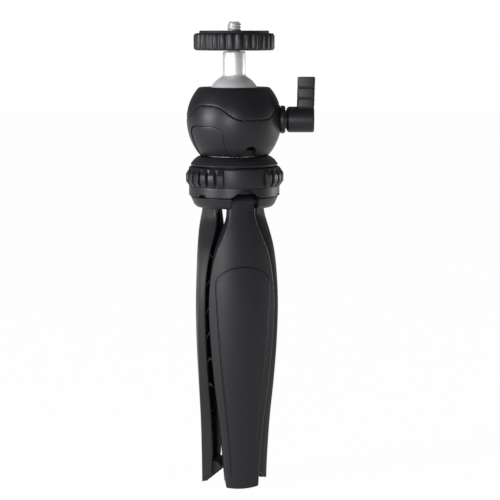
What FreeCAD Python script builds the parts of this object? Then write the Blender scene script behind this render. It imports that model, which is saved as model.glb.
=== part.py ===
import FreeCAD, Part
import math
import os
import Sketcher

# Mini table tripod with a ball head, one named solid per subcomponent.
# Every height below is measured from the floor; publish() then drops each sub-part
# so that the origin lies on the seat of the camera screw, on the tripod's axis.

os.makedirs("parts", exist_ok=True)
doc = FreeCAD.newDocument("MiniTripod")
sheet = doc.addObject("Spreadsheet::Sheet", "Sizes")
V = FreeCAD.Vector
published = []


# ---------------------------------------------------------------- driving sizes

class Size:
    """A number together with the sheet expression that gives it."""

    def __init__(self, value, text):
        self.value = float(value)
        self.text = text

    def __add__(self, other):
        other = as_size(other)
        return Size(self.value + other.value, "(" + self.text + " + " + other.text + ")")

    def __sub__(self, other):
        other = as_size(other)
        return Size(self.value - other.value, "(" + self.text + " - " + other.text + ")")

    def __mul__(self, other):
        other = as_size(other)
        return Size(self.value * other.value, "(" + self.text + " * " + other.text + ")")

    def __truediv__(self, other):
        other = as_size(other)
        return Size(self.value / other.value, "(" + self.text + " / " + other.text + ")")

    def __radd__(self, other):
        return as_size(other) + self

    def __rsub__(self, other):
        return as_size(other) - self

    def __rmul__(self, other):
        return as_size(other) * self

    def __neg__(self):
        return as_size(0) - self


def as_size(value):
    if isinstance(value, Size):
        return value
    return Size(value, repr(float(value)))


def root(value):
    value = as_size(value)
    return Size(math.sqrt(value.value), "sqrt(" + value.text + ")")


next_row = 1


def size(name, value):
    """Write one driving dimension into the sheet and return it."""
    global next_row
    sheet.set("A" + str(next_row), name)
    sheet.set("B" + str(next_row), str(value))
    sheet.setAlias("B" + str(next_row), name)
    next_row = next_row + 1
    return Size(value, "Sizes." + name)


gap = size("running_gap", 0.05)
loose = size("loose_gap", 0.3)
wall = size("wall_thickness", 2.2)

stud_r = size("stud_radius", 3.175)
stud_core_r = size("stud_core_radius", 2.9)
stud_top = size("stud_top", 210.3)
stud_bottom = size("stud_bottom", 188.0)
stud_chamfer = size("stud_chamfer", 0.4)
seat = size("seat_height", 206.3)
pad_r = size("pad_radius", 15.6)
pad_bottom = size("pad_bottom", 204.8)
wheel_r = size("wheel_radius", 18.2)
wheel_top = size("wheel_top", 205.2)
wheel_bottom = size("wheel_bottom", 197.5)
wheel_chamfer = size("wheel_chamfer", 1.1)
wheel_bore = size("wheel_bore_radius", 3.5)
scallop_r = size("scallop_radius", 1.9)
scallop_out = size("scallop_centre_radius", 19.25)
scallops = size("scallop_count", 29)
bush_r = size("bush_radius", 5.6)
bush_bottom = size("bush_bottom", 197.9)
bush_top = size("bush_top", 203.2)

ball_r = size("ball_radius", 11.75)
ball_z = size("ball_height", 175.5)
neck_r = size("neck_radius", 5.07)
neck_top = size("neck_top", 197.1)

head_r = size("housing_radius", 21.4)
head_z = size("housing_middle", 166.8)
head_low_r = size("housing_lower_arc", 25.0)
head_top = size("housing_top", 181.1)
head_bottom = size("housing_bottom", 150.6)
head_floor = size("housing_floor_top", 153.6)
seam_low = size("seam_low", 167.2)
seam_high = size("seam_high", 173.4)
seam_gap = size("seam_gap", 0.22)
hump_top = size("hump_top_half_width", 3.4)
hump_base = size("hump_base_half_width", 15.2)
hump_turn = size("hump_angle", -125)
thick_z = size("socket_block_bottom", 171.8)
liner_r = size("liner_radius", 13.0)
liner_top = size("liner_top", 177.5)
tab_turn = size("tab_angle", -131)
tab_half = size("tab_half_width", 9.8)
tab_low_half = size("tab_bottom_half_width", 8.2)
tab_top = size("tab_top", 164.3)
tab_round = size("tab_corner_radius", 5.0)
tab_thick = size("tab_thickness", 1.3)
hole_turn = size("arch_hole_angle", -65)
hole_half = size("arch_hole_half_width", 3.1)
hole_top = size("arch_hole_top", 155.4)
post_r = size("post_radius", 1.9)
post_out = size("post_distance", 13.4)
post_turns = [
    size("first_post_angle", 40),
    size("second_post_angle", 176),
    size("third_post_angle", -40),
]

cup_r = size("cup_radius", 10.9)
cup_bottom = size("cup_bottom", 160.5)
cup_top = size("cup_top", 168.9)

lever_z = size("lever_axis_height", 166.6)
boss_r = size("boss_radius", 6.8)
boss_face = size("boss_face", 20.8)
boss_inner = size("boss_inner_end", 15.8)
flange_r = size("flange_radius", 6.25)
flange_face = size("flange_face", 23.0)
hub_start = size("lever_hub_start", 23.5)
hub_end = size("lever_hub_end", 35.9)
hub_r = size("lever_hub_radius", 5.8)
hub_neck_r = size("lever_neck_radius", 4.3)
handle_start = size("handle_start", 28.3)
handle_end = size("handle_end", 36.4)
handle_top = size("handle_top", 185.7)
handle_thick = size("handle_thickness", 6.4)
clamp_r = size("clamp_screw_radius", 3.0)
clamp_tip = size("clamp_screw_tip", 14.3)
shoe_face = size("shoe_face", 11.5)

waist_r = size("waist_radius", 15.6)
collar_top = size("collar_top", 150.3)
collar_r = size("collar_radius", 19.7)
collar_edge = size("collar_edge", 146.7)
collar_lip = size("collar_lip", 146.1)
spigot_r = size("spigot_radius", 16.6)
detent_turn = size("detent_angle", 76)
ring_top = size("ring_top", 145.7)
ring_body_r = size("ring_body_radius", 20.5)
ring_patch_r = size("ring_patch_radius", 22.25)
ring_low = size("ring_body_bottom", 136.7)
skirt_r = size("skirt_radius", 20.45)
skirt_in = size("skirt_inner_radius", 18.6)
skirt_low = size("skirt_bottom", 132.6)
rib_pitch = size("rib_pitch_angle", 11.5)
rib_wide = size("rib_width_angle", 8.8)
ribs = size("ribs_per_patch", 6)
patch_turn = size("patch_first_rib_angle", -163.75)
arch_half = size("arch_half_width", 6.9)
arch_high = size("arch_height", 4.0)
notch_half = size("notch_half_width", 2.15)
notch_high = size("notch_height", 1.2)

hub_top_r = size("leg_hub_top_radius", 19.7)
hub_edge = size("leg_hub_edge", 132.2)
hub_mid = size("leg_hub_bevel", 128.5)
hub_mid_r = size("leg_hub_bevel_radius", 18.0)
hub_low = size("leg_hub_bottom", 127.5)
hub_low_r = size("leg_hub_bottom_radius", 17.0)
plate_top = size("hub_plate_top", 136.3)
slot_half = size("slot_half_width", 6.5)
slot_in = size("slot_inner_end", 6.9)
slot_top = size("slot_top", 134.2)
bolt_r = size("bolt_radius", 3.0)
pivot_out = size("pivot_distance", 10.5)
pivot_z = size("pivot_height", 130.5)
pivot_r = size("pivot_pin_radius", 1.5)
leg_head_r = size("leg_head_radius", 3.2)
leg_head_half = size("leg_head_half_width", 6.0)
leg_arc = size("leg_face_arc", 30.0)
leg_wall = size("leg_wall", 2.0)
front_turn = size("front_leg_angle", -74)
left_turn = size("left_leg_angle", 166)
right_turn = size("right_leg_angle", 46)
sole_angle = size("sole_angle", 40)
pad_half = size("rubber_foot_half_width", 6.0)


# ---------------------------------------------------------------- helpers

def bind(item, prop, value):
    item.setExpression(prop, as_size(value).text)


def publish(item, node, turn=None):
    """Name a finished sub-part and bring it down to the seat's origin."""
    item.Label = node
    bind(item, "Placement.Base.z", -seat)
    if turn is not None:
        item.Placement = FreeCAD.Placement(V(0, 0, 0), FreeCAD.Rotation(V(0, 0, 1), 10))
        bind(item, "Placement.Rotation.Angle", turn)
    published.append((item, node))


def draw(sketch, corners, arcs):
    """Closed outline through corners; arcs maps an edge number to (radius, bulge side)."""
    count = len(corners)
    points = []
    for across, up in corners:
        points.append((as_size(across), as_size(up)))
    for number in range(count):
        a = V(points[number][0].value, points[number][1].value, 0)
        b = V(points[(number + 1) % count][0].value, points[(number + 1) % count][1].value, 0)
        if number in arcs:
            radius, side = arcs[number]
            middle = (a + b) * 0.5
            chord = b - a
            rise = math.sqrt(max(as_size(radius).value ** 2 - (chord.Length / 2) ** 2, 0))
            normal = V(-chord.y, chord.x, 0)
            normal.normalize()
            centre = middle - normal * rise * side
            circle = Part.Circle(centre, V(0, 0, 1), as_size(radius).value)
            first, last = (a, b) if side < 0 else (b, a)
            start = math.atan2(first.y - centre.y, first.x - centre.x)
            stop = math.atan2(last.y - centre.y, last.x - centre.x)
            if stop < start:
                stop = stop + 2 * math.pi
            sketch.addGeometry(Part.ArcOfCircle(circle, start, stop), False)
        else:
            sketch.addGeometry(Part.LineSegment(a, b), False)
    ends = []
    for number in range(count):
        ends.append((2, 1) if number in arcs and arcs[number][1] > 0 else (1, 2))
    for number in range(count):
        after = (number + 1) % count
        sketch.addConstraint(
            Sketcher.Constraint("Coincident", number, ends[number][1], after, ends[after][0]))
    for number in range(count):
        across, up = points[number]
        pin(sketch, "DistanceX", number, ends[number][0], across)
        pin(sketch, "DistanceY", number, ends[number][0], up)
        if number in arcs:
            radius = as_size(arcs[number][0])
            index = sketch.addConstraint(Sketcher.Constraint("Radius", number, radius.value))
            sketch.setExpression("Constraints[" + str(index) + "]", radius.text)


def pin(sketch, kind, edge, end, value):
    """Tie one coordinate of an edge's end to the sheet."""
    if abs(value.value) < 1e-9:
        axis = -2 if kind == "DistanceX" else -1
        sketch.addConstraint(Sketcher.Constraint("PointOnObject", edge, end, axis))
        return
    if value.value > 0:
        index = sketch.addConstraint(Sketcher.Constraint(kind, -1, 1, edge, end, value.value))
        sketch.setExpression("Constraints[" + str(index) + "]", value.text)
        return
    index = sketch.addConstraint(Sketcher.Constraint(kind, edge, end, -1, 1, -value.value))
    sketch.setExpression("Constraints[" + str(index) + "]", (-value).text)


def plane_of(body, role):
    for feature in body.Origin.OriginFeatures:
        if feature.Role == role:
            return feature


def turned(name, corners, arcs=None):
    """A body turned about the upright axis from a half outline."""
    body = doc.addObject("PartDesign::Body", name)
    sketch = body.newObject("Sketcher::SketchObject", name + "_outline")
    sketch.AttachmentSupport = [(plane_of(body, "XZ_Plane"), "")]
    sketch.MapMode = "FlatFace"
    draw(sketch, corners, arcs or {})
    solid = body.newObject("PartDesign::Revolution", name + "_turned")
    solid.Profile = sketch
    solid.ReferenceAxis = (sketch, ["V_Axis"])
    solid.Angle = 360
    return body


def padded(name, role, corners, length, arcs=None, midplane=True):
    """A body padded from an outline on one of its own planes."""
    body = doc.addObject("PartDesign::Body", name)
    sketch = body.newObject("Sketcher::SketchObject", name + "_outline")
    sketch.AttachmentSupport = [(plane_of(body, role), "")]
    sketch.MapMode = "FlatFace"
    draw(sketch, corners, arcs or {})
    solid = body.newObject("PartDesign::Pad", name + "_pad")
    solid.Profile = sketch
    solid.Midplane = midplane
    bind(solid, "Length", length)
    return body


def rod(name, radius, length, base, direction="z", turn=None):
    """A plain cylinder that starts at base and runs up, or outwards along +X."""
    item = doc.addObject("Part::Cylinder", name)
    bind(item, "Radius", radius)
    bind(item, "Height", length)
    if direction == "x":
        item.Placement = FreeCAD.Placement(V(0, 0, 0), FreeCAD.Rotation(V(0, 1, 0), 90))
    if direction == "y":
        item.Placement = FreeCAD.Placement(V(0, 0, 0), FreeCAD.Rotation(V(1, 0, 0), -90))
    for letter, value in zip("xyz", base):
        bind(item, "Placement.Base." + letter, value)
    if turn is not None:
        return spun(name + "_spun", item, turn)
    return item


def block(name, sizes, base):
    """A box from its sizes and its lowest corner."""
    item = doc.addObject("Part::Box", name)
    for prop, value in zip(("Length", "Width", "Height"), sizes):
        bind(item, prop, value)
    for letter, value in zip("xyz", base):
        bind(item, "Placement.Base." + letter, value)
    return item


def ball(name, radius, height):
    item = doc.addObject("Part::Sphere", name)
    bind(item, "Radius", radius)
    bind(item, "Placement.Base.z", height)
    return item


def fuse(name, items):
    item = doc.addObject("Part::MultiFuse", name)
    item.Shapes = items
    item.Refine = True
    return item


def common(name, items):
    item = doc.addObject("Part::MultiCommon", name)
    item.Shapes = items
    return item


def cut(name, base, tools):
    """Take the tools away from the base."""
    tool = tools[0]
    if len(tools) > 1:
        tool = doc.addObject("Part::Compound", name + "_tools")
        tool.Links = tools
    item = doc.addObject("Part::Cut", name)
    item.Base = base
    item.Tool = tool
    return item


def spun(name, item, turn):
    """The same shape turned about the upright axis."""
    copy = doc.addObject("Part::Compound", name)
    copy.Links = [item]
    copy.Placement = FreeCAD.Placement(V(0, 0, 0), FreeCAD.Rotation(V(0, 0, 1), 10))
    bind(copy, "Placement.Rotation.Angle", turn)
    return copy


def at_posts(name, item):
    """The same shape at each of the housing's screw posts."""
    return [spun(name + str(number), item, turn) for number, turn in enumerate(post_turns)]


def thrice(name, item, turn):
    """The same shape at three places 120 degrees apart."""
    return [spun(name + str(number), item, turn + 120 * number) for number in range(3)]


# ---------------------------------------------------------------- camera screw, pad and wheel

camera_screw = turned("CameraScrew", [
    (0, stud_bottom),
    (stud_core_r, stud_bottom),
    (stud_core_r, seat),
    (stud_r, seat),
    (stud_r, stud_top - stud_chamfer),
    (stud_r - stud_chamfer, stud_top),
    (0, stud_top),
])
publish(camera_screw, "camera_screw")

wheel_pad = turned("WheelPad", [
    (wheel_bore, pad_bottom),
    (pad_r, pad_bottom),
    (pad_r, seat),
    (wheel_bore, seat),
])
publish(wheel_pad, "wheel_pad")

wheel_bush = turned("WheelBush", [
    (stud_core_r + gap, bush_bottom),
    (bush_r, bush_bottom),
    (bush_r, bush_top),
    (stud_core_r + gap, bush_top),
])
publish(wheel_bush, "wheel_bush")

# The wheel is turned first, then one scallop is cut in its rim and repeated round it.
lock_wheel = turned("LockWheel", [
    (bush_r + gap, wheel_bottom),
    (wheel_r - wheel_chamfer, wheel_bottom),
    (wheel_r, wheel_bottom + wheel_chamfer),
    (wheel_r, wheel_top - wheel_chamfer),
    (wheel_r - wheel_chamfer, wheel_top),
    (pad_r, wheel_top),
    (pad_r, pad_bottom),
    (wheel_bore, pad_bottom),
    (wheel_bore, bush_top + loose),
    (bush_r + gap, bush_top + loose),
])
doc.recompute()
scallop_sketch = lock_wheel.newObject("Sketcher::SketchObject", "ScallopOutline")
scallop_sketch.AttachmentSupport = [(plane_of(lock_wheel, "XY_Plane"), "")]
scallop_sketch.MapMode = "FlatFace"
scallop_sketch.addGeometry(Part.Circle(V(scallop_out.value, 0, 0), V(0, 0, 1), scallop_r.value), False)
scallop_sketch.addConstraint(Sketcher.Constraint("PointOnObject", 0, 3, -1))
pin(scallop_sketch, "DistanceX", 0, 3, scallop_out)
radius_index = scallop_sketch.addConstraint(Sketcher.Constraint("Radius", 0, scallop_r.value))
scallop_sketch.setExpression("Constraints[" + str(radius_index) + "]", scallop_r.text)
scallop = lock_wheel.newObject("PartDesign::Pocket", "Scallop")
scallop.Profile = scallop_sketch
scallop.Type = 1
scallop.Midplane = False
scallop.Reversed = True
pattern = lock_wheel.newObject("PartDesign::PolarPattern", "Scallops")
pattern.Originals = [scallop]
pattern.Axis = (plane_of(lock_wheel, "Z_Axis"), [""])
pattern.Angle = 360
bind(pattern, "Occurrences", scallops)
lock_wheel.Tip = pattern
publish(lock_wheel, "lock_wheel")


# ---------------------------------------------------------------- ball and neck

ball_stem = turned("BallStem", [
    (0, ball_z - ball_r),
    (ball_r, ball_z),
    (neck_r, ball_z + root(ball_r * ball_r - neck_r * neck_r)),
    (neck_r, neck_top - 0.5),
    (neck_r - 0.5, neck_top),
    (stud_core_r, neck_top),
    (stud_core_r, stud_bottom),
    (0, stud_bottom),
], {0: (ball_r, -1), 1: (ball_r, -1)})
publish(ball_stem, "ball_stem")


# ---------------------------------------------------------------- housing shells

def shell_solid(name, inset, bottom, top):
    """The housing's rounded outline drawn in by an inset, as one turned solid."""
    upper_r = head_r - inset
    lower_r = head_low_r - inset
    low = as_size(head_z - bottom)
    high = as_size(top - head_z)
    low_edge = upper_r - lower_r + root(lower_r * lower_r - low * low)
    high_edge = root(upper_r * upper_r - high * high)
    return turned(name, [
        (0, bottom),
        (low_edge, bottom),
        (upper_r, head_z),
        (high_edge, top),
        (0, top),
    ], {1: (lower_r, -1), 2: (upper_r, -1)})


housing_plain = shell_solid("HousingPlain", 0, head_bottom, head_top)
boss_pad = rod("BossPad", boss_r, boss_face - boss_inner, (boss_inner, 0, lever_z), "x")
flat_cutter = block("BossFlat", (6, 16, 15.6), (boss_face, -8, lever_z - 7.8))
housing_outer = cut("HousingOuter", housing_plain, [flat_cutter])


def hump_outline(grow):
    """Outline of one wave of the seam, widened and raised by grow."""
    half_run = (hump_base - hump_top) / 2
    half_rise = (seam_high - seam_low) / 2
    bend = (half_run * half_run + half_rise * half_rise) / (half_rise * 2)
    middle = (hump_base + hump_top) / 2 + grow
    base = seam_low + grow
    corners = [
        (-(hump_base + grow), base - 3),
        (-(hump_base + grow), base),
        (-middle, base + half_rise),
        (-(hump_top + grow), seam_high + grow),
        (hump_top + grow, seam_high + grow),
        (middle, base + half_rise),
        (hump_base + grow, base),
        (hump_base + grow, base - 3),
    ]
    arcs = {1: (bend, -1), 2: (bend, 1), 4: (bend, 1), 5: (bend, -1)}
    return corners, arcs


def humps(name, grow, start):
    """The three waves as radial prisms that begin at the given radius."""
    corners, arcs = hump_outline(as_size(grow))
    body = padded(name, "YZ_Plane", corners, 40, arcs, midplane=False)
    mask = rod(name + "_core", start, 60, (0, 0, 140))
    outside = cut(name + "_outside", body, [mask])
    return thrice(name + "_", outside, hump_turn)


below_seam = rod("BelowSeam", 30, seam_low - 140, (0, 0, 140))
lower_region = fuse("LowerRegion", [below_seam] + humps("LowerHump", 0, 17.4))
below_gap = rod("BelowGap", 30, seam_low + seam_gap - 140, (0, 0, 140))
upper_cutter = fuse("UpperCutter", [below_gap] + humps("UpperHump", seam_gap, 17.2))

socket_ball = ball("SocketBall", ball_r + 0.12, ball_z)
cavity = shell_solid("HousingCavity", wall, head_floor, seam_high + 1.5)
cavity_cap = rod("CavityCap", 40, 40, (0, 0, thick_z))
cavity_low = cut("CavityLow", cavity, [cavity_cap])

# Upper shell: solid round the socket, hollow below it, with three screw posts.
upper_block = cut("UpperBlock", housing_outer, [upper_cutter])
upper_hollow = cut("UpperHollow", upper_block, [cavity_low])
upper_post = rod("UpperPost", post_r, thick_z + 0.5 - seam_low - seam_gap, (post_out, 0, seam_low + seam_gap))
upper_posts = at_posts("UpperPost_", upper_post)
upper_joined = fuse("UpperJoined", [upper_hollow] + upper_posts)
screw_bore = rod("ScrewBore", 1.0, 3.5, (post_out, 0, seam_low))
liner_bore = rod("LinerBore", liner_r, liner_top - 160, (0, 0, 160))
post_keep = rod("PostKeep", liner_r, liner_top - thick_z, (0, 0, thick_z))
upper_housing = cut("UpperHousing", upper_joined,
                    [post_keep, socket_ball] + at_posts("ScrewBore_", screw_bore))
publish(upper_housing, "upper_housing")

liner_ring = turned("LinerRing", [
    (9.0, thick_z),
    (liner_r, thick_z),
    (liner_r, liner_top),
    (9.0, liner_top),
])
liner_ball = ball("LinerBall", ball_r + 0.06, ball_z)
socket_liner = cut("SocketLiner", liner_ring, [liner_ball])
publish(socket_liner, "socket_liner")

# Lower shell: hollow, with the lever's boss, the cup's support, the posts, the panel's
# recess and the small arched hole.
lower_block = common("LowerBlock", [housing_outer, lower_region])
lower_hollow = cut("LowerHollow", lower_block, [cavity])
lower_post = rod("LowerPost", post_r, seam_low - 0.3 - head_floor + 0.5, (post_out, 0, head_floor - 0.5))
cup_support = turned("CupSupport", [
    (8.0, head_floor - 0.5),
    (cup_r, head_floor - 0.5),
    (cup_r, cup_bottom - loose),
    (8.0, cup_bottom - loose),
])
boss_clip = common("BossClip", [boss_pad, rod("BossLimit", 30, seam_low - 140, (0, 0, 140))])
lower_joined = fuse("LowerJoined",
                    [lower_hollow, cup_support, boss_clip] + at_posts("LowerPost_", lower_post))


def tab_prism(name, grow):
    """The panel's rounded-square outline as a prism that runs outwards."""
    half = tab_half + grow
    low_half = tab_low_half + grow
    top = tab_top + grow
    bend = tab_round + grow
    body = padded(name, "YZ_Plane", [
        (-low_half, 149),
        (-half, top - bend),
        (-half + bend, top),
        (half - bend, top),
        (half, top - bend),
        (low_half, 149),
    ], 40, {1: (bend, 1), 3: (bend, 1)}, midplane=False)
    return spun(name + "_spun", body, tab_turn)


tab_slab = common("TabSlab", [housing_plain, tab_prism("TabPrism", 0)])
tab_inner = shell_solid("TabInner", tab_thick, head_bottom, head_top)
tab_raw = cut("TabRaw", tab_slab, [tab_inner])
tab_face = shell_solid("TabFace", 0.25, head_bottom, head_top)
tab_cover = common("TabCover", [tab_raw, tab_face])
publish(tab_cover, "tab_cover")

recess_slab = common("RecessSlab", [housing_plain, tab_prism("RecessPrism", 0.2)])
recess_inner = shell_solid("RecessInner", tab_thick + 0.02, head_bottom, head_top)
recess = cut("Recess", recess_slab, [recess_inner])
arch_bend = hole_half
arch_body = padded("ArchHole", "YZ_Plane", [
    (-hole_half, 149),
    (-hole_half, hole_top - arch_bend),
    (0, hole_top),
    (hole_half, hole_top - arch_bend),
    (hole_half, 149),
], 40, {1: (arch_bend, 1), 2: (arch_bend, 1)}, midplane=False)
arch_hole = spun("ArchHoleSpun", cut("ArchOutside", arch_body, [rod("ArchCore", 13.6, 40, (0, 0, 140))]), hole_turn)
clamp_bore = rod("ClampBore", clamp_r + loose, 20, (12, 0, lever_z), "x")
nut_bore = rod("NutBore", 4.9, 3.0, (boss_inner, 0, lever_z), "x")
bolt_bore = rod("BoltBore", bolt_r + gap, 10, (0, 0, 148))
lower_screw_bore = rod("LowerScrewBore", 1.15, 20, (post_out, 0, 149))
screw_head_bore = rod("ScrewHeadBore", 1.75, 152.4 - head_bottom + 1, (post_out, 0, head_bottom - 1))
lower_housing = cut("LowerHousing", lower_joined,
                    [recess, arch_hole, clamp_bore, nut_bore, bolt_bore]
                    + at_posts("LowerScrewBore_", lower_screw_bore)
                    + at_posts("ScrewHeadBore_", screw_head_bore))
publish(lower_housing, "lower_housing")

one_screw = turned("HousingScrew", [
    (0, head_bottom + 0.3),
    (1.7, head_bottom + 0.3),
    (1.7, 152.4),
    (1.0, 152.4),
    (1.0, 170.4),
    (0, 170.4),
])
moved_screw = doc.addObject("Part::Compound", "HousingScrewOut")
moved_screw.Links = [one_screw]
bind(moved_screw, "Placement.Base.x", post_out)
housing_screws = doc.addObject("Part::Compound", "HousingScrews")
housing_screws.Links = at_posts("HousingScrew_", moved_screw)
publish(housing_screws, "housing_screws")


# ---------------------------------------------------------------- ball cup, brake and lever

cup_block = rod("CupBlock", cup_r, cup_top - cup_bottom, (0, 0, cup_bottom))
cup_ball = ball("CupBall", ball_r + 0.06, ball_z)
ball_cup = cut("BallCup", cup_block, [cup_ball])
publish(ball_cup, "ball_cup")

shoe_block = block("ShoeBlock", (clamp_tip - 0.02 - 8, 8, 7.4), (8, -4, 160.8))
shoe_hollow = rod("ShoeHollow", cup_r + loose, 20, (0, 0, 155))
brake_shoe = cut("BrakeShoe", shoe_block, [shoe_hollow])
publish(brake_shoe, "brake_shoe")

nut_ring = rod("NutRing", 4.9, 3.0, (boss_inner, 0, lever_z), "x")
nut_hole = rod("NutHole", clamp_r + gap, 8, (boss_inner - 1, 0, lever_z), "x")
clamp_nut = cut("ClampNut", nut_ring, [nut_hole])
publish(clamp_nut, "clamp_nut")

flange_disc = rod("FlangeDisc", flange_r, flange_face - boss_face, (boss_face, 0, lever_z), "x")
flange_hole = rod("FlangeHole", clamp_r + gap, 8, (boss_face - 1, 0, lever_z), "x")
lever_flange = cut("LeverFlange", flange_disc, [flange_hole])
publish(lever_flange, "lever_flange")

clamp_rod = rod("ClampRod", clamp_r, 33 - clamp_tip, (clamp_tip, 0, lever_z), "x")
clamp_screw = spun("ClampScrew", clamp_rod, as_size(0))
publish(clamp_screw, "clamp_screw")

lever_hub = rod("LeverHub", hub_r, hub_end - hub_start, (hub_start, 0, lever_z), "x")
lever_neck = rod("LeverNeck", hub_neck_r, 2, (flange_face + 0.1, 0, lever_z), "x")
handle = padded("LeverHandle", "XZ_Plane", [
    (handle_start + 0.4, lever_z),
    (handle_start - 0.3, lever_z + 8),
    (handle_start, handle_top - 0.8),
    (handle_start + 0.8, handle_top),
    (handle_end - 0.8, handle_top),
    (handle_end, handle_top - 0.8),
    (hub_end, lever_z),
], handle_thick)
lever_joined = fuse("LeverJoined", [lever_hub, lever_neck, handle])
lever_bore = rod("LeverBore", clamp_r, 33 - flange_face, (flange_face, 0, lever_z), "x")
lock_lever = cut("LockLever", lever_joined, [lever_bore])
publish(lock_lever, "lock_lever")


# ---------------------------------------------------------------- collar, ring and hub

collar_body = turned("CollarBody", [
    (bolt_r + gap, 146.0),
    (11.0, 146.0),
    (11.0, plate_top),
    (spigot_r, plate_top),
    (spigot_r, collar_lip),
    (collar_r, collar_lip),
    (collar_r, collar_edge),
    (waist_r, collar_top),
    (bolt_r + gap, collar_top),
], {6: (9.0, -1)})
detent_bore = rod("DetentBore", 1.6, 12, (12.0, 0, 141.2), "x", detent_turn)
collar_screw_bore = rod("CollarScrewBore", 1.25, 6.5, (14.2, 0, plate_top - 0.5))
base_collar = cut("BaseCollar", collar_body,
                  [detent_bore] + thrice("CollarScrewBore_", collar_screw_bore, front_turn + 60))
publish(base_collar, "base_collar")

detent_ball = doc.addObject("Part::Sphere", "DetentBall")
bind(detent_ball, "Radius", 1.5)
ball_out = doc.addObject("Part::Compound", "DetentBallOut")
ball_out.Links = [detent_ball]
bind(ball_out, "Placement.Base.x", 15.2)
bind(ball_out, "Placement.Base.z", 141.2)
publish(spun("DetentBallSpun", ball_out, detent_turn), "detent_ball")

spring_path = doc.addObject("Part::Helix", "SpringPath")
spring_path.Pitch = 0.5
spring_path.Height = 1.5
spring_path.Radius = 1.2
spring_wire = doc.addObject("Part::Circle", "SpringWire")
spring_wire.Radius = 0.15
spring_wire.Placement = FreeCAD.Placement(V(1.2, 0, 0), FreeCAD.Rotation(V(1, 0, 0), 90))
spring_sweep = doc.addObject("Part::Sweep", "SpringSweep")
spring_sweep.Sections = [spring_wire]
spring_sweep.Spine = (spring_path, ["Edge1"])
spring_sweep.Solid = True
spring_sweep.Frenet = True
spring_out = doc.addObject("Part::Compound", "SpringOut")
spring_out.Links = [spring_sweep]
spring_out.Placement = FreeCAD.Placement(V(12.2, 0, 141.2), FreeCAD.Rotation(V(0, 1, 0), 90))
publish(spun("DetentSpringSpun", spring_out, detent_turn), "detent_spring")

# The ring is turned with its skirt, then the ribs of three patches are added round it.
ring_body = turned("RingBody", [
    (spigot_r + loose, ring_low + 0.4),
    (skirt_in, ring_low + 0.4),
    (skirt_in, skirt_low),
    (skirt_r, skirt_low),
    (skirt_r, ring_low),
    (ring_body_r, ring_low + 0.6),
    (ring_body_r, ring_top - 0.8),
    (ring_body_r - 0.8, ring_top),
    (spigot_r + loose, ring_top),
])
doc.recompute()
last = None
for number in range(3):
    rib_sketch = ring_body.newObject("Sketcher::SketchObject", "RibOutline" + str(number))
    rib_sketch.AttachmentSupport = [(plane_of(ring_body, "XZ_Plane"), "")]
    rib_sketch.MapMode = "FlatFace"
    rib_sketch.AttachmentOffset = FreeCAD.Placement(V(0, 0, 0), FreeCAD.Rotation(V(0, 1, 0), 10))
    bind(rib_sketch, "AttachmentOffset.Rotation.Angle", patch_turn + 120 * number)
    draw(rib_sketch, [
        (ring_body_r - 0.6, ring_low + 0.1),
        (ring_body_r + 0.1, ring_low + 0.2),
        (ring_patch_r, ring_low + 2.6),
        (ring_patch_r, ring_top - 3.0),
        (ring_body_r - 0.2, ring_top - 0.3),
        (ring_body_r - 0.6, ring_top - 0.3),
    ], {})
    rib = ring_body.newObject("PartDesign::Revolution", "Rib" + str(number))
    rib.Profile = rib_sketch
    rib.ReferenceAxis = (rib_sketch, ["V_Axis"])
    rib.Midplane = True
    bind(rib, "Angle", rib_wide)
    row = ring_body.newObject("PartDesign::PolarPattern", "RibRow" + str(number))
    row.Originals = [rib]
    row.Axis = (plane_of(ring_body, "Z_Axis"), [""])
    bind(row, "Angle", rib_pitch * (ribs - 1))
    bind(row, "Occurrences", ribs)
    ring_body.Tip = row
arch_r = (arch_half * arch_half + arch_high * arch_high) / (arch_high * 2)
notch_r = (notch_half * notch_half + notch_high * notch_high) / (notch_high * 2)
arch_rod = rod("SkirtArch", arch_r, 12, (15, 0, skirt_low + arch_high - arch_r), "x")
notch_rod = rod("SkirtNotch", notch_r, 12, (15, 0, skirt_low + notch_high - notch_r), "x")
selector_ring = cut("SelectorRing", ring_body,
                    thrice("SkirtArch_", arch_rod, front_turn)
                    + thrice("SkirtNotch_", notch_rod, front_turn + 60))
publish(selector_ring, "selector_ring")

hub_body = turned("HubBody", [
    (bolt_r + gap, hub_low + 3.8),
    (5.0, hub_low + 3.8),
    (5.0, hub_low),
    (hub_low_r, hub_low),
    (hub_mid_r, hub_mid),
    (hub_top_r, hub_edge),
    (spigot_r, hub_edge),
    (spigot_r, plate_top),
    (bolt_r + gap, plate_top),
])
slot = block("LegSlot", (20, slot_half * 2, slot_top - 120), (slot_in, -slot_half, 120))
pin_half = 8.4
pin_bore = rod("PinBore", pivot_r, pin_half * 2, (pivot_out, -pin_half, pivot_z), "y")
hub_screw_bore = rod("HubScrewBore", 1.35, 12, (14.2, 0, 126))
hub_screw_head = rod("HubScrewHead", 2.3, 4.4, (14.2, 0, 126))
leg_hub = cut("LegHub", hub_body,
              thrice("LegSlot_", slot, front_turn)
              + thrice("PinBore_", pin_bore, front_turn)
              + thrice("HubScrewBore_", hub_screw_bore, front_turn + 60)
              + thrice("HubScrewHead_", hub_screw_head, front_turn + 60))
publish(leg_hub, "leg_hub")

one_collar_screw = turned("CollarScrew", [
    (0, 128.4),
    (2.2, 128.4),
    (2.2, 130.4),
    (1.25, 130.4),
    (1.25, 142.0),
    (0, 142.0),
])
collar_screw_out = doc.addObject("Part::Compound", "CollarScrewOut")
collar_screw_out.Links = [one_collar_screw]
bind(collar_screw_out, "Placement.Base.x", 14.2)
collar_screws = doc.addObject("Part::Compound", "CollarScrews")
collar_screws.Links = thrice("CollarScrew_", collar_screw_out, front_turn + 60)
publish(collar_screws, "collar_screws")

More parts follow.
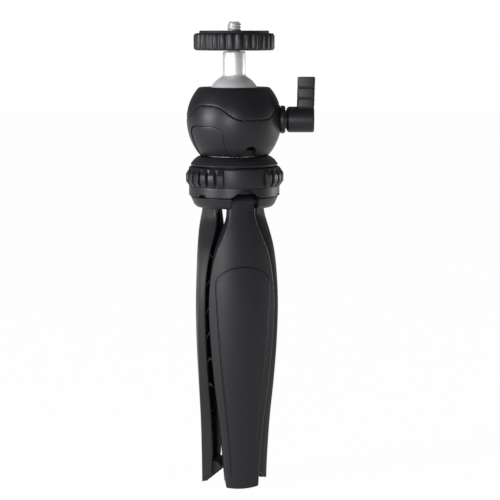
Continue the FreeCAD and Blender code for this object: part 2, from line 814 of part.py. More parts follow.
pivot_pin = rod("PivotPin", pivot_r, pin_half * 2, (pivot_out, -pin_half, pivot_z), "y")
pivot_pins = doc.addObject("Part::Compound", "PivotPins")
pivot_pins.Links = thrice("PivotPin_", pivot_pin, front_turn)
publish(pivot_pins, "pivot_pins")

centre_bolt = turned("CentreBolt", [
    (0, 127.8),
    (4.7, 127.8),
    (4.7, hub_low + 3.8),
    (bolt_r, hub_low + 3.8),
    (bolt_r, 158.8),
    (0, 158.8),
])
publish(centre_bolt, "centre_bolt")

pan_washer = turned("PanWasher", [
    (bolt_r + gap, collar_top),
    (12.0, collar_top),
    (12.0, head_bottom - gap),
    (bolt_r + gap, head_bottom - gap),
])
publish(pan_washer, "pan_washer")

lock_washer = turned("LockWasher", [
    (bolt_r + gap, head_floor + gap),
    (6.0, head_floor + gap),
    (6.0, head_floor + 0.8),
    (bolt_r + gap, head_floor + 0.8),
])
publish(lock_washer, "lock_washer")

nut_prism = doc.addObject("Part::Prism", "NutPrism")
nut_prism.Polygon = 6
bind(nut_prism, "Circumradius", 5.6)
bind(nut_prism, "Height", 4.0)
bind(nut_prism, "Placement.Base.z", head_floor + 0.8)
centre_nut = cut("CentreNut", nut_prism, [rod("NutThread", bolt_r, 10, (0, 0, head_floor - 2))])
publish(centre_nut, "centre_nut")


# ---------------------------------------------------------------- legs and feet

# Stations down the leg: height, crest of the outer face, half width, inner edge of the walls.
stations = []
for name, station in (
        ("tip", (0.0, 14.4, 7.6, 9.6)),
        ("foot", (12.0, 14.5, 8.35, 7.6)),
        ("shin", (30.0, 14.95, 10.05, 7.2)),
        ("calf", (48.0, 15.9, 12.5, 8.4)),
        ("knee", (66.0, 16.8, 14.3, 9.4)),
        ("belly", (84.0, 17.1, 15.2, 9.8)),
        ("thigh", (97.0, 16.75, 14.3, 9.4)),
        ("upper", (108.0, 16.3, 12.0, 8.2)),
        ("neck", (116.5, 15.6, 8.5, 6.8)),
        ("throat", (122.5, 14.75, 6.25, 6.8)),
        ("top", (127.0, 13.9, 5.9, 7.3))):
    station_z = size(name + "_height", station[0])
    station_crest = size(name + "_crest", station[1])
    station_half = size(name + "_half_width", station[2])
    station_in = size(name + "_inner_edge", station[3])
    stations.append((station_z, station_crest, station_half, station_in))


def section(name, height, crest, half, inner, arc):
    """One level section of a leg: bowed outer face, straight sides and back."""
    side = crest - arc + root(arc * arc - half * half)
    sketch = doc.addObject("Sketcher::SketchObject", name)
    bind(sketch, "Placement.Base.z", height)
    draw(sketch, [
        (inner, half * 0.96),
        (inner, -half * 0.96),
        (side, -half),
        (side, half),
    ], {2: (arc, -1)})
    return sketch


outer_sections = []
inner_sections = []
for number, (z, crest, half, inner) in enumerate(stations):
    outer_sections.append(section("LegSection" + str(number), z, crest, half, inner, leg_arc))
    if 0 < number < len(stations) - 1:
        hollow = section("HollowSection" + str(number), z, crest - leg_wall, half - leg_wall,
                         as_size(4.0), leg_arc)
        inner_sections.append(hollow)

leg_solid = doc.addObject("Part::Loft", "LegSolid")
leg_solid.Sections = outer_sections
leg_solid.Solid = True
leg_solid.Ruled = False
leg_hollow = doc.addObject("Part::Loft", "LegHollow")
leg_hollow.Sections = inner_sections
leg_hollow.Solid = True
leg_hollow.Ruled = False

# Cross ribs stand in the hollow and stop short of the open side.
rib_boxes = doc.addObject("Part::Compound", "LegRibBoxes")
rib_links = []
for number in range(7):
    rib_links.append(block("LegRib" + str(number), (10, 40, 1.2), (11.6, -20, 26 + 12 * number)))
rib_boxes.Links = rib_links
leg_open = cut("LegOpen", leg_hollow, [rib_boxes])
leg_shell = cut("LegShell", leg_solid, [leg_open])

leg_head = rod("LegHead", leg_head_r, leg_head_half * 2, (pivot_out, -leg_head_half, pivot_z), "y")
leg_cheek = padded("LegCheek", "XZ_Plane", [
    (8.6, 124.0),
    (14.2, 124.0),
    (pivot_out + leg_head_r, pivot_z),
    (pivot_out - leg_head_r + 0.1, pivot_z),
], leg_head_half * 2)
leg_with_head = fuse("LegWithHead", [leg_shell, leg_head, leg_cheek])
leg_pin_bore = rod("LegPinBore", pivot_r + gap, 20, (pivot_out, -10, pivot_z), "y")

# The rubber foot fills the end of the leg and is cut off at the spread angle.
toe = as_size(12.9)
heel = as_size(4.6)
slope = Size(math.tan(math.radians(sole_angle.value)), "tan(Sizes.sole_angle * 1 deg)")
sole_rise = (toe - heel) * slope
foot_wedge = padded("FootWedge", "XZ_Plane", [
    (toe, 0.35),
    (toe, 11.0),
    (heel, 11.0),
    (heel, 0.35 + sole_rise),
], pad_half * 2)
tip_edge = stations[0][1]
under_sole = padded("UnderSole", "XZ_Plane", [
    (tip_edge, -2.0),
    (tip_edge, 0.0),
    (heel - 4, (tip_edge - heel + 4) * slope),
    (heel - 4, -2.0),
], 30)
foot_socket = padded("FootSocket", "XZ_Plane", [
    (toe, -1.0),
    (toe, 11.0),
    (0.0, 11.0),
    (0.0, -1.0),
], pad_half * 2)
leg_master = cut("LegMaster", leg_with_head, [leg_pin_bore, foot_socket, under_sole])

for leg_name, turn in (("front", front_turn), ("left", left_turn), ("right", right_turn)):
    leg = doc.addObject("Part::Compound", leg_name + "_leg_solid")
    leg.Links = [leg_master]
    publish(leg, leg_name + "_leg", turn)
    foot = doc.addObject("Part::Compound", leg_name + "_foot_solid")
    foot.Links = [foot_wedge]
    publish(foot, leg_name + "_foot", turn)


# ---------------------------------------------------------------- checks and export

doc.recompute()
problems = []
for item in doc.Objects:
    for word in ("Invalid", "Error"):
        if word in item.State:
            problems.append(item.Name + " is " + word)
for item, node in published:
    shape = item.Shape
    if shape.isNull() or not shape.isValid():
        problems.append(node + " has no valid shape")
        continue
    print(node, "solids", len(shape.Solids), "volume", round(shape.Volume, 2))
    shape.exportStep("parts/" + node + ".step")
if problems:
    raise RuntimeError("; ".join(problems))
print("sub-parts written:", len(published))
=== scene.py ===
# %% [markdown]
# # A mini table tripod with a ball head
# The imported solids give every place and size. This script gives the same parts their
# finished look. Each step has a short note first and then the code.

# %% Load the frame
import bpy
import bmesh
import math
from mathutils import Matrix, Vector


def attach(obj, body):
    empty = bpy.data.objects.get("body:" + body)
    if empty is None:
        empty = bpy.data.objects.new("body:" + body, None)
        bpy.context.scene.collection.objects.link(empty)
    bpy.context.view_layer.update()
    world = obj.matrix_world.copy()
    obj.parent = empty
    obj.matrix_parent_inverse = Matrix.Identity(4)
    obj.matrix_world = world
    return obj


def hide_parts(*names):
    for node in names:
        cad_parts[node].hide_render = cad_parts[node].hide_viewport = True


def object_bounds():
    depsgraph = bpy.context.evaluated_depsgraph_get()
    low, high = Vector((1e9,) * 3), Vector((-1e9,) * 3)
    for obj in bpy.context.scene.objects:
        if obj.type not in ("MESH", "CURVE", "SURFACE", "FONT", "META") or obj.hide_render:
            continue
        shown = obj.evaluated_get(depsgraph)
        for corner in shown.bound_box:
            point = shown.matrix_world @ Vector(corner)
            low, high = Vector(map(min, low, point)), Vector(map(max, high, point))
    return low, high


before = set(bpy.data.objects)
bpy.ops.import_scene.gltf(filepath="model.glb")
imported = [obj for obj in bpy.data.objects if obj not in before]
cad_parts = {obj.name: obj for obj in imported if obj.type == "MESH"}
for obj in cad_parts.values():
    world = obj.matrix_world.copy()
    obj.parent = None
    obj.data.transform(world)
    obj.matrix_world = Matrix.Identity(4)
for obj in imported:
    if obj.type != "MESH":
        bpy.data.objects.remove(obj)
cad_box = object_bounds()
FLOOR = cad_box[0][2]
print("height of the solids", round(cad_box[1][2] - FLOOR, 4), "m")

# %% [markdown]
# ## Building blocks for meshes
# Most parts of a moulded head are rings of points joined by faces. Heights are written in
# millimetres above the table, as on a drawing, and turned into metres of the frame in one
# place. A lathe tool alone would do the turned parts, but the shells have wavy edges, so
# one loft that takes any rings serves them all.

# %% Points, fillets and lofts


def place(x, y, z):
    """A drawing point, in millimetres above the table, as a point of the frame."""
    return Vector((x / 1000, y / 1000, z / 1000 + FLOOR))


def about_axis(radius, angle, height):
    """A drawing point at a radius and an angle in degrees about the tripod's axis."""
    turn = math.radians(angle)
    return (radius * math.cos(turn), radius * math.sin(turn), height)


def rounded(corners, steps=4, closed=True):
    """An outline through corners (across, up, fillet radius), with the fillets drawn in."""
    points = []
    count = len(corners)
    for number, (x, y, radius) in enumerate(corners):
        here = Vector((x, y))
        end = not closed and number in (0, count - 1)
        if radius <= 0 or end:
            points.append((x, y))
            continue
        back = Vector(corners[number - 1][:2]) - here
        ahead = Vector(corners[(number + 1) % count][:2]) - here
        half = back.angle(ahead) / 2
        reach = min(radius / math.tan(half), back.length * 0.49, ahead.length * 0.49)
        start = here + back.normalized() * reach
        stop = here + ahead.normalized() * reach
        for step in range(steps + 1):
            t = step / steps
            spot = start * (1 - t) ** 2 + here * 2 * t * (1 - t) + stop * t * t
            points.append((spot.x, spot.y))
    return points


def loft(name, rings, wrap=False, smooth=35.0):
    """Join closed rings of drawing points; the ends are capped unless the rings wrap."""
    work = bmesh.new()
    rows = [[work.verts.new(place(*point)) for point in ring] for ring in rings]
    last = len(rows) if wrap else len(rows) - 1
    for row in range(last):
        lower, upper = rows[row], rows[(row + 1) % len(rows)]
        for number in range(len(lower)):
            after = (number + 1) % len(lower)
            work.faces.new((lower[number], lower[after], upper[after], upper[number]))
    if not wrap:
        work.faces.new(list(reversed(rows[0])))
        work.faces.new(rows[-1])
    bmesh.ops.recalc_face_normals(work, faces=work.faces)
    mesh = bpy.data.meshes.new(name)
    work.to_mesh(mesh)
    work.free()
    mesh.shade_smooth()
    mesh.set_sharp_from_angle(angle=math.radians(smooth))
    piece = bpy.data.objects.new(name, mesh)
    bpy.context.scene.collection.objects.link(piece)
    return piece


def turned(name, outline, segments=160, wrap=True, smooth=35.0):
    """A piece turned about the upright axis from (radius, height) points."""
    rings = []
    for radius, height in outline:
        rings.append([about_axis(radius, 360 * k / segments, height) for k in range(segments)])
    return loft(name, rings, wrap, smooth)


def apply_all(piece):
    """Bake a piece's modifiers into its mesh and drop them."""
    depsgraph = bpy.context.evaluated_depsgraph_get()
    mesh = bpy.data.meshes.new_from_object(piece.evaluated_get(depsgraph))
    piece.modifiers.clear()
    old = piece.data
    piece.data = mesh
    if old.users == 0:
        bpy.data.meshes.remove(old)
    return piece


def discard(*pieces):
    for piece in pieces:
        bpy.data.objects.remove(piece, do_unlink=True)


def carve(piece, *cutters, operation="DIFFERENCE", smooth=35.0):
    """Take cutters out of a piece, bake the result and throw the cutters away."""
    for cutter in cutters:
        step = piece.modifiers.new("carve", "BOOLEAN")
        step.operation = operation
        step.solver = "EXACT"
        step.object = cutter
    apply_all(piece)
    discard(*cutters)
    piece.data.shade_smooth()
    piece.data.set_sharp_from_angle(angle=math.radians(smooth))
    return piece


def joined(name, pieces):
    """Several closed shells of one part as one piece."""
    work = bmesh.new()
    for piece in pieces:
        work.from_mesh(piece.data)
    mesh = bpy.data.meshes.new(name)
    work.to_mesh(mesh)
    work.free()
    mesh.shade_smooth()
    mesh.set_sharp_from_angle(angle=math.radians(35.0))
    discard(*pieces)
    whole = bpy.data.objects.new(name, mesh)
    bpy.context.scene.collection.objects.link(whole)
    return whole


print("mesh tools ready")

# %% [markdown]
# ## Building blocks for node trees
# A small class wraps a socket, so that arithmetic on it reads as plain sums and adds the
# Math nodes by itself. One function makes every other node: its settings first, then the
# values or links of its sockets.

# %% Sockets as sums, and one way to make a node


class Flow:
    """A node's output socket that can be used in sums."""

    def __init__(self, tree, socket):
        self.tree = tree
        self.socket = socket

    def sum(self, operation, first, second=None):
        made = self.tree.nodes.new("ShaderNodeMath")
        made.operation = operation
        for number, value in enumerate((first, second)):
            if value is None:
                continue
            if isinstance(value, Flow):
                self.tree.links.new(value.socket, made.inputs[number])
            else:
                made.inputs[number].default_value = value
        return Flow(self.tree, made.outputs[0])

    def __add__(self, other):
        return self.sum("ADD", self, other)

    def __radd__(self, other):
        return self.sum("ADD", other, self)

    def __sub__(self, other):
        return self.sum("SUBTRACT", self, other)

    def __rsub__(self, other):
        return self.sum("SUBTRACT", other, self)

    def __mul__(self, other):
        return self.sum("MULTIPLY", self, other)

    def __rmul__(self, other):
        return self.sum("MULTIPLY", other, self)


def node(tree, kind, settings=None, inputs=None, output=0):
    """Add a node, set it up and return one of its outputs as a Flow."""
    made = tree.nodes.new(kind)
    for name, value in (settings or {}).items():
        if name == "stops":
            ramp = made.color_ramp.elements
            for element, (position, colour) in zip(ramp, value):
                element.position = position
                element.color = colour
        else:
            setattr(made, name, value)
    for name, value in (inputs or {}).items():
        socket = made.inputs[name]
        if isinstance(value, Flow):
            tree.links.new(value.socket, socket)
        else:
            socket.default_value = value
    if len(made.outputs) == 0:
        return made
    return Flow(tree, made.outputs[output])


print("node tools ready")

# %% [markdown]
# ## Finishes
# The black parts are moulded in a plastic with a very fine spark grain: it scatters light
# softly, and handling polishes its edges a little. The grain is noise in real millimetres
# that drives a bump; a slower noise varies the roughness. Pointiness would find the edges,
# but it follows the mesh, so a mild large noise stands for wear instead.

# %% The finishes


def finish_material(name, colour, rough, metallic=0.0, grain=0.3, height=0.006,
                    vary=0.08, brushed=None, specular=0.5, tint=0.12):
    """A procedural finish: grain size and bump height are in millimetres."""
    material = bpy.data.materials.new(name)
    material.use_nodes = True
    tree = material.node_tree
    tree.nodes.clear()
    shader = tree.nodes.new("ShaderNodeBsdfPrincipled")
    shader.inputs["Metallic"].default_value = metallic
    shader.inputs["Specular IOR Level"].default_value = specular
    spot = node(tree, "ShaderNodeTexCoord", output=3)
    if brushed:
        spot = node(tree, "ShaderNodeMapping", {}, {"Vector": spot, "Scale": brushed})
    fine = node(tree, "ShaderNodeTexNoise", {}, {
        "Vector": spot, "Scale": 1000 / grain, "Detail": 2.0, "Roughness": 0.6})
    broad = node(tree, "ShaderNodeTexNoise", {}, {
        "Vector": spot, "Scale": 1000 / 14.0, "Detail": 3.0, "Roughness": 0.5})
    roughness = rough + (broad - 0.5) * vary * 2 + (fine - 0.5) * vary
    tree.links.new(roughness.socket, shader.inputs["Roughness"])
    dark = tuple(c * (1 - tint) for c in colour) + (1.0,)
    light = tuple(min(1.0, c * (1 + tint)) for c in colour) + (1.0,)
    ramp = node(tree, "ShaderNodeValToRGB", {"stops": ((0.3, dark), (0.7, light))}, {"Fac": broad})
    tree.links.new(ramp.socket, shader.inputs["Base Color"])
    bump = node(tree, "ShaderNodeBump", {}, {
        "Height": fine, "Strength": 1.0, "Distance": height / 1000})
    tree.links.new(bump.socket, shader.inputs["Normal"])
    out = tree.nodes.new("ShaderNodeOutputMaterial")
    tree.links.new(shader.outputs[0], out.inputs[0])
    return material


black_plastic = finish_material("black_plastic", (0.0082, 0.0080, 0.0112), 0.43,
                                grain=0.6, height=0.03, specular=0.33)
leg_plastic = finish_material("leg_plastic", (0.0082, 0.0080, 0.0112), 0.44,
                              grain=0.7, height=0.045, specular=0.35)
black_rubber = finish_material("black_rubber", (0.009, 0.009, 0.0096), 0.66,
                               grain=0.25, height=0.02, vary=0.05, specular=0.3)
satin_metal = finish_material("satin_metal", (0.72, 0.72, 0.735), 0.42, metallic=0.55,
                              grain=0.5, height=0.003, vary=0.04, brushed=(1, 1, 6), tint=0.03)
screw_steel = finish_material("screw_steel", (0.66, 0.66, 0.67), 0.4, metallic=0.6,
                              grain=0.4, height=0.002, vary=0.05, tint=0.04)
inner_steel = finish_material("inner_steel", (0.5, 0.5, 0.51), 0.35, metallic=1.0,
                              grain=0.4, height=0.003, tint=0.05)
brass = finish_material("brass", (0.7, 0.5, 0.22), 0.32, metallic=1.0, grain=0.4, height=0.003)
inner_plastic = finish_material("inner_plastic", (0.7, 0.69, 0.65), 0.5, grain=0.5, height=0.006)
print("finishes", len(bpy.data.materials))


def done(piece, body, material, slot, *nodes):
    """Give a finished piece its material, its body and the solids it stands for."""
    piece.data.materials.clear()
    piece.data.materials.append(material)
    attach(piece, body)
    if nodes:
        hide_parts(*nodes)
    print(piece.name, "faces", len(piece.data.polygons))
    return piece


# %% [markdown]
# ## Rows of like pieces
# Knurls, grip ribs, web ribs and sole nubs all repeat one small shape. A Geometry Nodes
# tree places copies round an arc or up a line and makes them real, so that one tree with
# named inputs serves every row. The copies are one plain mesh in the end.

# %% The row tree


def input_socket(tree, name, kind):
    return tree.interface.new_socket(name=name, in_out="INPUT", socket_type="NodeSocket" + kind)


row_tree = bpy.data.node_groups.new("row_of_copies", "GeometryNodeTree")
row_inputs = {}
for socket_name, socket_kind in (("Piece", "Object"), ("Count", "Int"), ("First Angle", "Float"),
                                 ("Step Angle", "Float"), ("Radius", "Float"), ("Rise", "Float"),
                                 ("Finish", "Material")):
    row_inputs[socket_name] = input_socket(row_tree, socket_name, socket_kind).identifier
row_tree.interface.new_socket(name="Geometry", in_out="OUTPUT", socket_type="NodeSocketGeometry")
row_in = row_tree.nodes.new("NodeGroupInput")
row_given = {socket.name: Flow(row_tree, socket) for socket in row_in.outputs if socket.name}
row_turn = row_given["First Angle"] + row_given["Step Angle"] * node(row_tree, "GeometryNodeInputIndex")
row_cos = row_turn.sum("COSINE", row_turn)
row_sin = row_turn.sum("SINE", row_turn)
row_line = node(row_tree, "GeometryNodeMeshLine", {"mode": "OFFSET"}, {
    "Count": row_given["Count"],
    "Offset": node(row_tree, "ShaderNodeCombineXYZ", {}, {"Z": row_given["Rise"]})})
row_moved = node(row_tree, "GeometryNodeSetPosition", {}, {
    "Geometry": row_line,
    "Offset": node(row_tree, "ShaderNodeCombineXYZ", {}, {
        "X": row_cos * row_given["Radius"], "Y": row_sin * row_given["Radius"]})})
row_copy = node(row_tree, "GeometryNodeObjectInfo", {"transform_space": "ORIGINAL"},
                {"Object": row_given["Piece"]}, output=4)
row_copies = node(row_tree, "GeometryNodeInstanceOnPoints", {}, {
    "Points": row_moved, "Instance": row_copy,
    "Rotation": node(row_tree, "ShaderNodeCombineXYZ", {}, {"Z": row_turn})})
row_real = node(row_tree, "GeometryNodeRealizeInstances", {}, {"Geometry": row_copies})
row_done = node(row_tree, "GeometryNodeSetMaterial", {}, {
    "Geometry": row_real, "Material": row_given["Finish"]})
node(row_tree, "NodeGroupOutput", {}, {"Geometry": row_done})


def grown(name, tree, identifiers, values):
    """Run a tree with the given inputs and return its result as a plain piece."""
    piece = bpy.data.objects.new(name, bpy.data.meshes.new(name))
    bpy.context.scene.collection.objects.link(piece)
    step = piece.modifiers.new(name, "NODES")
    step.node_group = tree
    for key, value in values.items():
        step[identifiers[key]] = value
    apply_all(piece)
    return piece


def row(name, source, count, material, first=0.0, step=0.0, radius=0.0, rise=0.0):
    """Copies of a source piece: angles in degrees, lengths in millimetres."""
    piece = grown(name, row_tree, row_inputs, {
        "Piece": source, "Count": count, "First Angle": math.radians(first),
        "Step Angle": math.radians(step), "Radius": radius / 1000, "Rise": rise / 1000,
        "Finish": material})
    discard(source)
    print(name, "copies", count)
    return piece


# %% [markdown]
# ## Camera screw
# A bright turned stud with a coarse camera thread, eight tenths of which a camera swallows.
# The thread is one helical ridge. A Geometry Nodes spiral with a diamond section gives the
# true pitch; modelling it as stacked rings would be wrong at a close look.

# %% Camera screw with its thread
thread_tree = bpy.data.node_groups.new("helical_thread", "GeometryNodeTree")
thread_inputs = {}
for socket_name, socket_kind in (("Turns", "Float"), ("Pitch", "Float"), ("Crest Radius", "Float"),
                                 ("Depth", "Float"), ("Finish", "Material")):
    thread_inputs[socket_name] = input_socket(thread_tree, socket_name, socket_kind).identifier
thread_tree.interface.new_socket(name="Geometry", in_out="OUTPUT", socket_type="NodeSocketGeometry")
thread_in = thread_tree.nodes.new("NodeGroupInput")
given = {socket.name: Flow(thread_tree, socket) for socket in thread_in.outputs if socket.name}
helix_radius = given["Crest Radius"] - given["Depth"]
helix = node(thread_tree, "GeometryNodeCurveSpiral", {}, {
    "Resolution": 40, "Rotations": given["Turns"], "Start Radius": helix_radius,
    "End Radius": helix_radius, "Height": given["Turns"] * given["Pitch"]})
upright = node(thread_tree, "GeometryNodeSetCurveNormal", {"mode": "Z_UP"}, {"Curve": helix})
diamond = node(thread_tree, "GeometryNodeCurvePrimitiveCircle", {}, {
    "Resolution": 4, "Radius": given["Depth"]})
ridge = node(thread_tree, "GeometryNodeCurveToMesh", {}, {
    "Curve": upright, "Profile Curve": diamond, "Fill Caps": True})
ridge_real = node(thread_tree, "GeometryNodeRealizeInstances", {}, {"Geometry": ridge})
ridge_done = node(thread_tree, "GeometryNodeSetMaterial", {}, {
    "Geometry": ridge_real, "Material": given["Finish"]})
node(thread_tree, "NodeGroupOutput", {}, {"Geometry": ridge_done})

SEAT = 206.3
STUD_TOP = 210.3
PITCH = 1.27
thread = grown("thread", thread_tree, thread_inputs, {
    "Turns": 10.4, "Pitch": PITCH / 1000, "Crest Radius": 3.13 / 1000, "Depth": 0.6 / 1000,
    "Finish": screw_steel})
thread.data.transform(Matrix.Translation(place(0, 0, 197.0 - 0.6)) )
stud_core = turned("stud_core", rounded([
    (0.05, 188.0, 0), (2.45, 188.0, 0), (2.45, 209.7, 0), (2.2, STUD_TOP, 0), (0.05, STUD_TOP, 0)]),
    segments=48, wrap=False)
camera_screw = joined("camera_screw_threaded", [thread, stud_core])
done(camera_screw, "ball", screw_steel, "screw_steel", "camera_screw")

# %% [markdown]
# ## Rubber pad and lock wheel
# The pad is a soft disc with a rounded edge. The wheel under it is a moulded disc with
# narrow grip ridges and wide hollows between them. A boolean of many cylinders would cut
# the hollows, but ridges added to a slimmer disc take softer ends and cost fewer faces.

# %% Rubber pad
pad = turned("rubber_pad", rounded([
    (3.5, 204.8, 0.1), (15.6, 204.8, 0.1), (15.6, 206.3, 0.45), (3.5, 206.3, 0.3)]), segments=120)
done(pad, "wheel", black_rubber, "black_rubber", "wheel_pad")

# %% Lock wheel
RIDGES = 29
WHEEL_LOW = 197.5
WHEEL_TOP = 205.2
wheel_core = turned("wheel_core", rounded([
    (5.65, WHEEL_LOW, 0.2), (12.0, WHEEL_LOW, 0), (12.6, WHEEL_LOW + 0.5, 0.3), (15.2, WHEEL_LOW + 0.5, 0.3),
    (16.0, WHEEL_LOW, 0.2), (16.9, WHEEL_LOW, 0.4), (17.4, WHEEL_LOW + 0.7, 0.5),
    (17.4, WHEEL_TOP - 0.9, 0.7), (16.4, WHEEL_TOP, 0.3), (15.7, WHEEL_TOP, 0.1),
    (15.7, 204.82, 0), (3.55, 204.82, 0), (3.55, 203.5, 0), (5.65, 203.5, 0)]), segments=174)


def ridge_ring(height, out, half):
    """One level of a grip ridge: narrow crest, hollow flanks."""
    base = 17.0
    return [(base, -half * 2.3, height), (17.42, -half * 1.9, height), (base + (out - base) * 0.72, -half * 1.1, height),
            (out, -half * 0.55, height), (out, half * 0.55, height),
            (base + (out - base) * 0.72, half * 1.1, height), (17.42, half * 1.9, height), (base, half * 2.3, height)]


ridge_source = loft("ridge_source", [
    ridge_ring(WHEEL_LOW + 0.1, 17.2, 0.62), ridge_ring(WHEEL_LOW + 0.55, 17.95, 0.78),
    ridge_ring(WHEEL_LOW + 1.2, 18.18, 0.82), ridge_ring(WHEEL_TOP - 1.3, 18.18, 0.82),
    ridge_ring(WHEEL_TOP - 0.6, 17.9, 0.76), ridge_ring(WHEEL_TOP - 0.12, 17.1, 0.6)], smooth=60)
ridges = row("ridges", ridge_source, RIDGES, black_plastic, first=-94.2, step=360 / RIDGES)
wheel = joined("lock_wheel_knurled", [wheel_core, ridges])
done(wheel, "wheel", black_plastic, "black_plastic", "lock_wheel")

# %% [markdown]
# ## Ball and neck
# One piece of satin aluminium: a turned neck that grows out of the ball. Its outline is a
# circle arc with a small fillet where the neck starts, so a turned outline is all it needs.

# %% Ball and neck
BALL_Z = 175.5
BALL_R = 11.75
NECK_R = 5.07
ball_outline = [(0.02, BALL_Z - BALL_R)]
for step in range(1, 40):
    polar = math.radians(-90 + step * (90 + 61.5) / 39)
    ball_outline.append((BALL_R * math.cos(polar), BALL_Z + BALL_R * math.sin(polar)))
neck_foot = ball_outline[-1]
ball_outline += [(NECK_R + 0.22, 186.15), (NECK_R + 0.05, 186.6), (NECK_R, 187.2), (NECK_R, 196.4),
                 (NECK_R - 0.15, 196.9), (NECK_R - 0.5, 197.1), (2.95, 197.1), (2.95, 188.0), (0.02, 188.0)]
ball_piece = turned("ball_and_neck", ball_outline, segments=128, wrap=False, smooth=50)
done(ball_piece, "ball", satin_metal, "satin_metal", "ball_stem")

# %% [markdown]
# ## Housing shells
# Two moulded shells close round the ball and meet at a seam that waves three times round
# the head. Each shell is a loop of points turned about the axis, with the loop's seam end
# raised and lowered by the wave. Cutting one sphere in two with a wavy blade would give
# knife edges; the loop carries its own small fillets.

# %% The housing's surface and its seam
HEAD_R = 21.4
HEAD_Z = 166.8
HEAD_TOP = 181.1
HEAD_LOW = 150.6
BOSS_FACE = 20.8
SEAM_LOW = 167.2
SEAM_HIGH = 173.4
WAVE_ANGLE = -125.0


def housing_radius(height):
    """Outer radius of the head at a height: a sphere above, a fuller arc below."""
    rise = height - HEAD_Z
    if rise >= 0:
        return math.sqrt(HEAD_R ** 2 - rise ** 2)
    return HEAD_R - 25.0 + math.sqrt(25.0 ** 2 - rise ** 2)


def apart(angle, first, period=120.0):
    """Smallest angle between a direction and the nearest of a round of like ones."""
    return abs((angle - first + period / 2) % period - period / 2)


def seam_height(angle):
    off = apart(angle, WAVE_ANGLE)
    if off <= 8:
        return SEAM_HIGH
    if off >= 45:
        return SEAM_LOW
    return SEAM_LOW + (SEAM_HIGH - SEAM_LOW) * 0.5 * (1 + math.cos(math.pi * (off - 8) / 37))


def shell(name, loop_at, segments=360):
    """A ring-shaped shell from a function that gives its loop at each angle."""
    loops = [loop_at(360 * k / segments) for k in range(segments)]
    rings = []
    for number in range(len(loops[0])):
        ring = []
        for k in range(segments):
            radius, height = loops[k][number]
            x, y, z = about_axis(radius, 360 * k / segments, height)
            ring.append((min(x, BOSS_FACE), y, z))
        rings.append(ring)
    return loft(name, rings, wrap=True)


def upper_loop(angle):
    low = seam_height(angle) + 0.13
    loop = [(housing_radius(low) - 1.2, low), (housing_radius(low) - 0.35, low),
            (housing_radius(low + 0.1) - 0.1, low + 0.08), (housing_radius(low + 0.35), low + 0.35)]
    top = HEAD_TOP - 0.5
    for step in range(1, 19):
        height = low + 0.35 + (top - low - 0.35) * step / 18
        loop.append((housing_radius(height), height))
    loop += [(housing_radius(HEAD_TOP) + 0.02, HEAD_TOP - 0.16), (housing_radius(HEAD_TOP) - 0.35, HEAD_TOP),
             (11.2, HEAD_TOP), (10.85, HEAD_TOP - 0.08), (10.62, HEAD_TOP - 0.35)]
    for step in range(1, 8):
        height = HEAD_TOP - 0.35 - step * 0.85
        loop.append((math.sqrt((BALL_R + 0.15) ** 2 - (height - BALL_Z) ** 2), height))
    loop += [(13.1, 174.7), (housing_radius(low) - 2.2, low + 1.0)]
    return loop


upper = shell("upper_shell", upper_loop)
done(upper, "head", black_plastic, "black_plastic", "upper_housing")


def lower_loop(angle):
    top = seam_height(angle) - 0.13
    loop = [(housing_radius(top) - 1.2, top), (housing_radius(top) - 0.35, top),
            (housing_radius(top - 0.1) - 0.1, top - 0.08), (housing_radius(top - 0.35), top - 0.35)]
    low = HEAD_LOW + 0.5
    for step in range(1, 33):
        height = top - 0.35 - (top - 0.35 - low) * step / 32
        loop.append((housing_radius(height), height))
    loop += [(housing_radius(HEAD_LOW) - 0.05, HEAD_LOW + 0.12), (housing_radius(HEAD_LOW) - 0.4, HEAD_LOW),
             (6.4, HEAD_LOW), (6.4, 153.5)]
    for step in range(0, 13):
        height = 153.6 + (min(top, 170.5) - 0.6 - 153.6) * step / 12
        loop.append((housing_radius(height) - 2.4, height))
    return loop


lower = shell("lower_shell", lower_loop)
print("shells made")

# %% [markdown]
# ## Side panel and arched hole
# A rounded-square cover is let into the lower shell, flush but for a fine groove, and a
# small arched opening beside it shows the turning joint. Both are cut from outlines laid
# on the shell. The cover is made from the same outline as its recess, so the groove is
# even all round.

# %% Panel, recess and hole


def on_shell(across, height, facing, depth):
    """A point at a depth under the shell, measured across from a facing direction."""
    radius = housing_radius(height) - depth
    ahead = math.sqrt(max(radius ** 2 - across ** 2, 1.0))
    turn = math.radians(facing)
    return (ahead * math.cos(turn) - across * math.sin(turn),
            ahead * math.sin(turn) + across * math.cos(turn), height)


PANEL_TURN = -131.0


def panel_solid(name, grow, skin, edge, depth, low):
    """A closed slab under the panel's outline, rounded at its outer edge."""
    low_half, half, top = 8.2 + grow, 9.9 + grow, 164.3 + grow
    outline = rounded([(-low_half, low, 0.5), (low_half, low, 0.5), (half, top, 5.0 + grow),
                       (-half, top, 5.0 + grow)], steps=8)
    dense = []
    for number, (x, y) in enumerate(outline):
        after = outline[(number + 1) % len(outline)]
        parts = max(1, int(math.hypot(after[0] - x, after[1] - y) / 0.9))
        for part in range(parts):
            t = part / parts
            dense.append((x + (after[0] - x) * t, y + (after[1] - y) * t))
    middle = (low + top) / 2
    rings = []
    for share in (0.02, 0.15, 0.3, 0.45, 0.6, 0.75, 0.88, 0.95):
        rings.append([on_shell(x * share, middle + (y - middle) * share, PANEL_TURN, skin) for x, y in dense])
    rings.append([on_shell(x * 0.985, middle + (y - middle) * 0.99, PANEL_TURN, skin + edge * 0.3) for x, y in dense])
    rings.append([on_shell(x, y, PANEL_TURN, skin + edge) for x, y in dense])
    rings.append([on_shell(x, y, PANEL_TURN, depth) for x, y in dense])
    for share in (0.8, 0.6, 0.4, 0.2, 0.02):
        rings.append([on_shell(x * share, middle + (y - middle) * share, PANEL_TURN, depth) for x, y in dense])
    return loft(name, rings)


